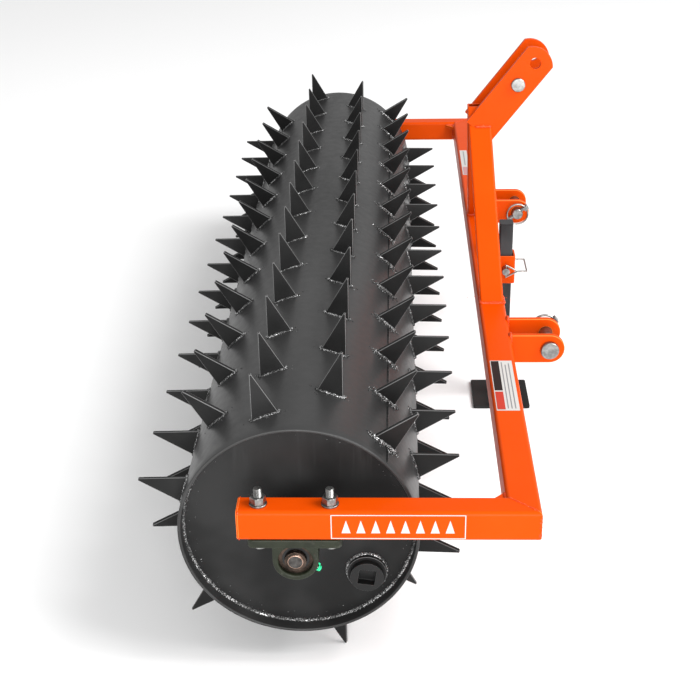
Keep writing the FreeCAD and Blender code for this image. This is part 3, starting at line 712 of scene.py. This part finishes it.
# %% Bevelled spikes with welds and spatter
def row_welds(node, rng):
    """Beads round the feet of a row, and the spatter beside them."""
    bm = bmesh.new()
    for a0, y0, half_long, half_wide, twist in feet_of(node):
        c, s = math.cos(twist), math.sin(twist)

        def spot(u, v, out=0.0):
            return on_drum(a0 + (u * c - v * s) / drum_r, y0 + u * s + v * c, out)

        up = on_drum(a0, 0) - Vector((axle.x, 0, axle.z))
        long, wide = half_long + 0.0006, half_wide + 0.0005
        near_seam = abs(a0 - seam_at) < 0.2
        for v in (-wide, wide):
            run = [spot(long * (k / 6 - 1), v, 0.0002) for k in range(13)]
            size = rng.uniform(0.0017, 0.0023) + 0.0012 * near_seam
            bead(bm, run, up, size, step=0.002, sides=6)
        for u in (-long, long):
            bead(bm, [spot(u, -wide, 0.0004), spot(u, wide, 0.0004)], up, 0.0034, step=0.0016)
        bits = []
        for i in range(90 if near_seam else 14):
            if rng.random() < 0.5:
                end = rng.choice((-1, 1)) * (long + rng.random() ** 2 * 0.012)
                bits.append(spot(end, rng.gauss(0, 0.005)))
            else:
                bits.append(spot(rng.uniform(-long, long), -wide - rng.random() ** 2 * 0.012))
        drops(bm, bits, rng, 0.0003, 0.0011 + 0.0004 * near_seam)
    return bm


rng = random.Random(5)
rows = sorted(node for node in frame["nodes"] if node.startswith("spike_row"))
for node in rows:
    # Spikes take a darker copy of the drum's paint, as painted shade on their sides, and the paler edge
    # copy on their bevels, as painted highlight.
    soften(node, 0.0008, spike_shaded_paint, "drum_paint", edge=charcoal_edge_highlight)
    welds = solid(node.replace("spike_row", "spike_welds"), row_welds(node, rng))
    dress(welds, drum_weld, "drum_paint", "drum")
print(len(rows), "rows of spikes welded")

# %% [markdown]
# ## The bearings
#
# A pillow block is a sand casting: soft corners, wide fillets, nothing quite flat. A voxel remesh turns
# the CAD block into one even skin, and smoothing that skin rounds it as a foundry pattern would.

# %% Cast housings
def cast(node, voxel=0.0013, rounds=5):
    """Remeshed and smoothed copy of a CAD node, in rough casting."""
    bm = bmesh.new()
    bm.from_mesh(frame["nodes"][node].data)
    bmesh.ops.remove_doubles(bm, verts=bm.verts, dist=2e-6)
    piece = solid("cast_" + node, bm)
    remesh = piece.modifiers.new("skin", "REMESH")
    remesh.mode = "VOXEL"
    remesh.voxel_size = voxel
    remesh.use_smooth_shade = True
    smooth = piece.modifiers.new("pattern", "SMOOTH")
    smooth.iterations = rounds
    smooth.factor = 0.5
    return dress(settle(piece), casting, "bearing_casting", body_of[node], node)


for name in sides:
    block = cast("bearing_housing_" + name)
print("each housing has", len(block.data.polygons), "faces")

soften("bearing_inner_rings", 0.0006, ring_steel, "bearing_steel", 2, ring_edge)
soften("bearing_seals", 0.0002, rubber, "seal_rubber")

# %% [markdown]
# The grease nipple is a small turned fitting: a hexagon, a neck and a ball. Its dust cap is a soft dome
# with a rolled lip and a strap that keeps it from getting lost.

# %% Grease nipples and caps
def island_middle(node, way):
    """Middle of the part of a two-sided node that's on one side of the machine."""
    points = [v.co for v in frame["nodes"][node].data.vertices if v.co.y * way > 0]
    return sum(points, Vector()) / len(points)


nipples, caps = bmesh.new(), bmesh.new()
for name, way in sides.items():
    hub = Vector((axle.x, middle("bearing_housing_" + name).y, axle.z))
    out = (island_middle("grease_caps", way) - hub).normalized()
    end = 0.031 + 0.0085
    capped(nipples, lathe(nipples, [
        (0.0030, 0.0295), (0.0030, 0.0322), (0.0024, 0.0326), (0.0024, 0.0346), (0.0028, 0.0356),
        (0.0028, 0.0368), (0.0012, 0.0378),
    ], hub, out, 24))
    capped(caps, lathe(caps, [
        (0.0034, end - 0.0050), (0.0043, end - 0.0050), (0.0046, end - 0.0046), (0.0046, end - 0.0036),
        (0.0043, end - 0.0031), (0.0042, end - 0.0014), (0.0036, end - 0.0004), (0.0022, end),
        (0.0005, end + 0.0001),
    ], hub, out, 32))
    across = out.cross(Vector((0, 1, 0)))
    strap = [hub + out * (end - 0.0042) + across * 0.0042]
    strap += [hub + out * (end - d) + across * (0.0046 + w) for d, w in
              ((0.0058, 0.0018), (0.0076, 0.0016), (0.0088, -0.0006), (0.0090, -0.0024))]
    bead(caps, strap, Vector((0, 1, 0)), 0.0011, step=0.0008)
dress(solid("nipples_turned", nipples), zinc, "zinc_plate", "frame", "grease_nipples")
dress(solid("caps_moulded", caps), green_plastic, "cap_plastic", "frame", "grease_caps")
print("nipples done")

# %% [markdown]
# ## Bolts, nuts and washers
#
# Threads are a helix, and a grid can be one: each ring's radius follows the thread's phase, which
# turns once per pitch. Hexagons get the lens-shaped chamfer that a nut has, because their corners are
# cut back to a circle near each end.

# %% Hexagons and threads
def hexagon(bm, centre, across, height, hole, both=True):
    """Nut or bolt head along Z with chamfered corners; hole is 0 for a head."""
    flat = across / 2

    def six(angle, radius, distance):
        corner = flat / math.cos((angle + math.pi / 6) % (math.pi / 3) - math.pi / 6)
        near = min(distance, height - distance) if both else distance
        return min(radius, corner, flat * 0.99 + near * 1.9) if radius > hole + 1e-6 else radius

    big = across
    levels = [0, 0.0004, 0.0008, 0.0014, height - 0.0014, height - 0.0008, height - 0.0004, height]
    profile = [(hole + 0.0007 if hole else 0.0001, 0)] + [(big, z) for z in levels]
    profile.append((hole + 0.0007 if hole else 0.0001, height))
    if hole:
        profile = [(hole, 0.0007)] + profile + [(hole, height - 0.0007)]
    rings = lathe(bm, profile, centre, Vector((0, 0, 1)), 72, six)
    for i in range(72):
        j = (i + 1) % 72
        bm.faces.new((rings[-1][i], rings[-1][j], rings[0][j], rings[0][i]))


def thread(bm, centre, radius, length, pitch=0.00175):
    """Threaded rod standing on centre along Z, with a chamfered top."""
    steps = round(length / (pitch / 7))

    def cut(angle, r, z):
        phase = (z / pitch - angle / math.tau) % 1
        deep = 0.00095 * abs(2 * phase - 1)
        return max(0.0002, min(r, radius - deep, radius - 0.0012 + (length - z)))

    profile = [(radius, length * i / steps) for i in range(steps + 1)]
    capped(bm, lathe(bm, profile + [(0.0003, length)], centre, Vector((0, 0, 1)), 36, cut))


print("thread helpers ready")

# %% [markdown]
# Two bolts hold each bearing under its arm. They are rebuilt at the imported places, since threads,
# chamfered nuts and washers make a fastener look real from close by.

# %% Bearing bolts
bolt_reach, bolt_radius, across_flats = 0.0475, 0.006, 0.019
bolts, nuts, washers = bmesh.new(), bmesh.new(), bmesh.new()
bolt_top, bolt_low = high("bearing_bolts").z, low("bearing_bolts").z
washer_top = high("bearing_washers").z
nut_top = high("bearing_nuts").z
heights = set(round(v.co.z, 6) for v in frame["nodes"]["bearing_bolts"].data.vertices)
head_z = sorted(heights)[1]
for way in sides.values():
    y = way * abs(middle("side_arm_right").y)
    for x in (axle.x - bolt_reach, axle.x + bolt_reach):
        start = Vector((x, y, 0))
        hexagon(bolts, start + Vector((0, 0, bolt_low)), across_flats, head_z - bolt_low, 0)
        capped(bolts, lathe(
            bolts, [(bolt_radius, head_z), (bolt_radius, arm_top)], start, Vector((0, 0, 1)), 36
        ))
        thread(bolts, start + Vector((0, 0, arm_top)), bolt_radius, bolt_top - arm_top)
        base = start + Vector((0, 0, washer_top))
        hexagon(nuts, base, across_flats, nut_top - washer_top, 0.0056)
        ring = [(0.0062, arm_top), (0.0117, arm_top), (0.012, arm_top + 0.0003)]
        ring += [(0.012, washer_top - 0.0005), (0.0116, washer_top), (0.0062, washer_top)]
        rings = lathe(washers, ring, start, Vector((0, 0, 1)), 48)
        for i in range(48):
            j = (i + 1) % 48
            washers.faces.new((rings[-1][i], rings[-1][j], rings[0][j], rings[0][i]))
for made, node in ((bolts, "bearing_bolts"), (nuts, "bearing_nuts"), (washers, "bearing_washers")):
    piece = solid(node + "_cut", made)
    for polygon in piece.data.polygons:
        polygon.use_smooth = len(polygon.vertices) == 4 and abs(polygon.normal.z) < 0.5
    piece.data.set_sharp_from_angle(angle=math.radians(28))
    dress(piece, zinc, "zinc_plate", "frame", node)
print("bolts from", round(bolt_low, 4), "to", round(bolt_top, 4))

# %% [markdown]
# ## The frame
#
# The tubes already have their rolled corners in CAD, so they only need small bevels on their end edges.
# Plates, ears and gussets are cut from flat bar, with a slightly larger radius where the coat builds up.
# All these bevels take the paler orange copy, a painted highlight.

# %% Tubes and plates
for node in frame["nodes"]:
    if node.startswith(("side_arm", "mast_leg")) or node == "crossbar":
        soften(node, 0.0008, orange, "frame_paint", 2, orange_edge_highlight)
    elif node.startswith(("outer_ear", "inner_ear", "top_link_plate")):
        soften(node, 0.0010, orange, "frame_paint", 3, orange_edge_highlight)
    elif node in ("corner_gussets", "arm_end_caps", "stand_sleeve"):
        soften(node, 0.0008, orange, "frame_paint", 2, orange_edge_highlight)
print("frame softened")

# %% [markdown]
# Every joint of the frame is welded. Flat joints have low beads, and inside corners have full fillets
# that run a little way past the part.

# %% Frame welds
def box_ring(a, b, axis):
    """Corners of a box's cross-section at the low end of one axis, in order round it."""
    u, v = [i for i in range(3) if i != axis]
    corners = []
    for p, q in ((0, 0), (1, 0), (1, 1), (0, 1)):
        corner = a.copy()
        corner[u] = (a, b)[p][u]
        corner[v] = (a, b)[q][v]
        corners.append(corner)
    return corners


X, Y, Z = Vector((1, 0, 0)), Vector((0, 1, 0)), Vector((0, 0, 1))
beads = bmesh.new()
rng = random.Random(3)
specks = []
arm_in = low("side_arm_left").y
arm_out = high("side_arm_left").y
gusset = 0.020
for name, way in sides.items():
    top = arm_top - 0.0009
    a, b = Vector((bar_back, arm_in * way, top)), Vector((bar_front, arm_out * way, top))
    bead(beads, [a.lerp(b, 0.05), a.lerp(b, 0.90)], Z, 0.0020)
    a.z = b.z = arm_low + 0.001
    bead(beads, [a.lerp(b, 0.05), a.lerp(b, 0.90)], Z, 0.0020)
    outer = Vector((bar_front - 0.0022, (arm_out - 0.0022) * way, 0))
    bead(beads, [outer + Z * (arm_low + 0.004), outer + Z * (arm_top - 0.005)], X, 0.0026)
    inner = Vector((bar_back - 0.0003, (arm_in - 0.0003) * way, 0))
    bead(beads, [inner + Z * (arm_low + 0.002), inner + Z * (arm_top - 0.012)], X, 0.0030)
    gz = high("corner_gussets").z - 0.0002
    corner = Vector((bar_back, arm_in * way, gz))
    run = [corner - X * gusset, corner, corner - Y * gusset * way]
    bead(beads, run[:2], Z, 0.0026)
    bead(beads, run[1:], Z, 0.0026)
    leg = frame["nodes"]["mast_leg_" + name].data.vertices
    verts = [v.co for v in leg if v.co.z < arm_top + 0.0002]
    a = Vector((min(v.x for v in verts), min(v.y for v in verts), arm_top))
    b = Vector((max(v.x for v in verts), max(v.y for v in verts), arm_top))
    foot = box_ring(a, b, 2)
    bead(beads, foot, Z, 0.0030, True)
    specks += [c + Vector((rng.gauss(0, 0.006), rng.gauss(0, 0.006), 0)) for c in foot * 5]
    for kind in ("outer_ear_", "inner_ear_"):
        a, b = low(kind + name), high(kind + name)
        a.x = bar_front
        bead(beads, box_ring(a, b, 0), X, 0.0029, True)
        specks += [a + Vector((0.0004, rng.gauss(0, 0.008), rng.uniform(0, 0.04))) for i in range(7)]
    a, b = low("side_arm_" + name), high("side_arm_" + name)
    bead(beads, box_ring(a + (Y + Z) * 0.0012, b - (Y + Z) * 0.0012, 0), X, 0.0009, True)
a, b = low("stand_sleeve"), high("stand_sleeve")
for y in (a.y, b.y):
    bead(beads, [Vector((bar_front, y, a.z + 0.002)), Vector((bar_front, y, arm_top - 0.004))], X, 0.0030)
drops(beads, specks, rng, 0.0004, 0.0009)
dress(solid("frame_welds", beads), frame_weld, "frame_paint", "frame")
print("frame welds done")

# %% [markdown]
# The top link plates lap over the mast legs, and each is welded along the line where they meet.

# %% Mast welds
beads = bmesh.new()
plate_y = high("top_link_plate_left").y
foot_y = max(v.co.y for v in frame["nodes"]["mast_leg_left"].data.vertices if v.co.z < arm_top + 0.0002)
foot_x = low("mast_leg_left").x
slope = 0.301 / 0.227
lap_z = arm_top + (foot_y - plate_y) * slope
for way in sides.values():
    lap = Vector((0, plate_y * way, lap_z))
    bead(beads, [lap + X * 0.182, lap + X * 0.212], Y, 0.0028)
dress(solid("mast_welds", beads), frame_weld, "frame_paint", "frame")
print("plates lap the legs at", round(lap_z, 4))

# %% [markdown]
# ## Pins, linch pins and loops
#
# Pins are turned and zinc plated. The linch pins' loops are spring wire bent to a ring.

# %% Pins and loops
for node in frame["nodes"]:
    if node.startswith("lower_pin") or node == "top_link_pin":
        soften(node, 0.0008, zinc, "zinc_plate", 3)
    elif "linch_pin" in node:
        soften(node, 0.0006, zinc, "zinc_plate", 3)
    elif "linch_loop" in node:
        a, b = low(node), high(node)
        wire = (b.y - a.y) / 2
        big = (b.x - a.x) / 2 - wire
        turns = [math.tau * i / 20 for i in range(21)]
        loop = bmesh.new()
        tube_profile = [(big + wire * math.cos(t), wire * math.sin(t)) for t in turns]
        lathe(loop, tube_profile, (a + b) / 2, Y, 96)
        bmesh.ops.remove_doubles(loop, verts=loop.verts, dist=1e-6)
        dress(solid("ring_" + node, loop), wire_steel, "spring_wire", body_of[node], node)
soften("lock_pin", 0.0006, zinc, "zinc_plate", 3)
print("pins done")

# %% [markdown]
# ## The parking stand
#
# The stand's leg is dark painted tube with a pushed-in plastic cap. The lock pin goes through both
# walls of the sleeve, and its square wire bail snaps over the pin's tail.

# %% Stand
soften("stand_leg", 0.0005, stand_paint, "stand_paint")
soften("stand_leg_cap", 0.0010, black_plastic, "black_plastic", 3)
# The foot takes the spikes' darker paint: painted shade on the foot.
soften("stand_foot", 0.0010, spike_shaded_paint, "stand_paint")
soften("lock_bail", 0.0002, wire_steel, "spring_wire")
beads = bmesh.new()
a, b = low("stand_leg"), high("stand_leg")
a.z = high("stand_foot").z
bead(beads, box_ring(a, b, 2), Z, 0.0026, True)
dress(solid("stand_weld", beads), stand_paint, "stand_paint", "frame")
print("stand done")

# %% [markdown]
# ## What is left of the CAD model
#
# The nodes that nothing replaced are mostly inside the machine. They keep their CAD shape and take the
# finish listed for them below.

# %% Finishes for the kept nodes
kept = {
    "hub_discs": charcoal, "bearing_races": ring_steel, "bearing_balls": zinc,
    "bearing_set_screws": shaft_steel,
}
for node, finish in kept.items():
    data = frame["nodes"][node].data
    data.materials.clear()
    data.materials.append(finish)
print("kept:", ", ".join(kept))

# %% [markdown]
# ## Decals
#
# The arm's outer face has an outlined panel, and the crossbar has small labels. The real ones have
# words on them. These have plain shapes only: bars, blocks and a row of triangles.

# %% Thin films
def patch(name, points, finish, lift):
    """Flat film from its corners, raised a hair along lift."""
    mesh = bpy.data.meshes.new(name)
    order = range(len(points))
    across = (points[1] - points[0]).cross(points[2] - points[1])
    if across.dot(lift) < 0:
        order = reversed(order)
    mesh.from_pydata([p + lift * 0.00015 for p in points], [], [list(order)])
    piece = bpy.data.objects.new(name, mesh)
    bpy.context.scene.collection.objects.link(piece)
    return dress(piece, finish, "frame_paint", "frame")


def flat_box(a0, a1, b0, b1, place):
    return [place(a0, b0), place(a1, b0), place(a1, b1), place(a0, b1)]


def on_arm(x, z):
    return Vector((x * MM, low("side_arm_right").y, z * MM))


def on_bar(y, x):
    return Vector((x * MM, y * MM, arm_top))


x0, x1, z0, z1, line = -46, 131, 266, 303.5, 1.3
frames = (
    (x0, x1, z0, z0 + line), (x0, x1, z1 - line, z1),
    (x0, x0 + line, z0, z1), (x1 - line, x1, z0, z1),
)
for i, strip in enumerate(frames):
    patch(f"panel_line_{i}", flat_box(*strip, on_arm), white_film, -Y * (1 + i // 2))
for i in range(8):
    left = -32 + i * 19.5
    corners = [on_arm(left, 275), on_arm(left + 12, 275), on_arm(left + 6, 295)]
    patch(f"panel_mark_{i}", corners, white_film, -Y)
label = (
    ("label_base", (-607, -446, 189.5, 224), white_film, 1),
    ("label_block", (-545, -448, 190.8, 203), black_film, 3),
    ("label_band", (-604, -549, 190.8, 203), red_film, 3),
    ("label_line_1", (-601, -452, 206.5, 208), grey_film, 3),
    ("label_line_2", (-601, -460, 212, 213.5), grey_film, 3),
    ("label_line_3", (-601, -456, 217.5, 219), grey_film, 3),
    ("tag_base", (447, 618, 190, 206), white_film, 1),
    ("tag_band", (450, 500, 192, 204), pink_film, 3),
    ("tag_line", (512, 610, 197, 199), grey_film, 3),
)
for name, place, finish, level in label:
    patch(name, flat_box(*place, on_bar), finish, Z * level)
print("decals done")

# %% [markdown]
# ## Floor, light and camera
#
# The machine stands in a bright studio: a white floor, a large soft key from the right and an even
# fill from all round, so the shadow is pale and falls to the left.

# %% Floor and lights
bm = bmesh.new()
bmesh.ops.create_grid(bm, x_segments=1, y_segments=1, size=60)
floor = solid("floor", bm)
paper = Finish("studio_floor", Roughness=0.9, Specular_IOR_Level=0.1)
paper.feed("Base Color", paper.mix(paper.grain(0.5, 2), (0.86, 0.86, 0.86), (0.90, 0.90, 0.90)))
floor.data.materials.append(paper.material)
floor.location.z = low("stand_foot").z - 0.0003

world = bpy.data.worlds.new("studio")
bpy.context.scene.world = world
world.use_nodes = True
world.node_tree.nodes["Background"].inputs["Color"].default_value = (1, 1, 1, 1)
world.node_tree.nodes["Background"].inputs["Strength"].default_value = 0.70


def lamp(name, place, aim, size, power):
    """Large square area light aimed at a point."""
    data = bpy.data.lights.new(name, "AREA")
    data.size = size
    data.energy = power
    made = bpy.data.objects.new(name, data)
    made.location = place
    made.rotation_euler = (Vector(aim) - Vector(place)).to_track_quat("-Z", "Y").to_euler()
    bpy.context.scene.collection.objects.link(made)
    return made


lamp("key", (4.2, -1.6, 4.6), (0, 0, 0.3), 3.2, 460)
lamp("fill", (0.3, -5.0, 1.3), (0, -0.6, 0.3), 2.4, 200)
print("lights ready")

# %% [markdown]
# The machine is seen from a little above its near end, so every row of spikes shows. The camera's
# axes come from three angles, and its lens is a moderate telephoto.

# %% Camera
turn, tilt, roll = -0.0377828, 0.4674227, 0.0190709
ahead = Vector((math.sin(turn) * math.cos(tilt), math.cos(turn) * math.cos(tilt), -math.sin(tilt)))
right = Vector((math.cos(turn), -math.sin(turn), 0))
down = ahead.cross(right)
right, down = (
    right * math.cos(roll) + down * math.sin(roll),
    down * math.cos(roll) - right * math.sin(roll),
)
lens = bpy.data.cameras.new("camera")
lens.lens = 67.153
lens.sensor_width = 36
camera = bpy.data.objects.new("camera", lens)
basis = Matrix((right, -down, -ahead)).transposed().to_4x4()
camera.matrix_world = Matrix.Translation((0.03748, -2.29842, 1.26247)) @ basis
bpy.context.scene.collection.objects.link(camera)
bpy.context.scene.camera = camera
bpy.context.scene.view_settings.view_transform = "Standard"
print("camera ready")
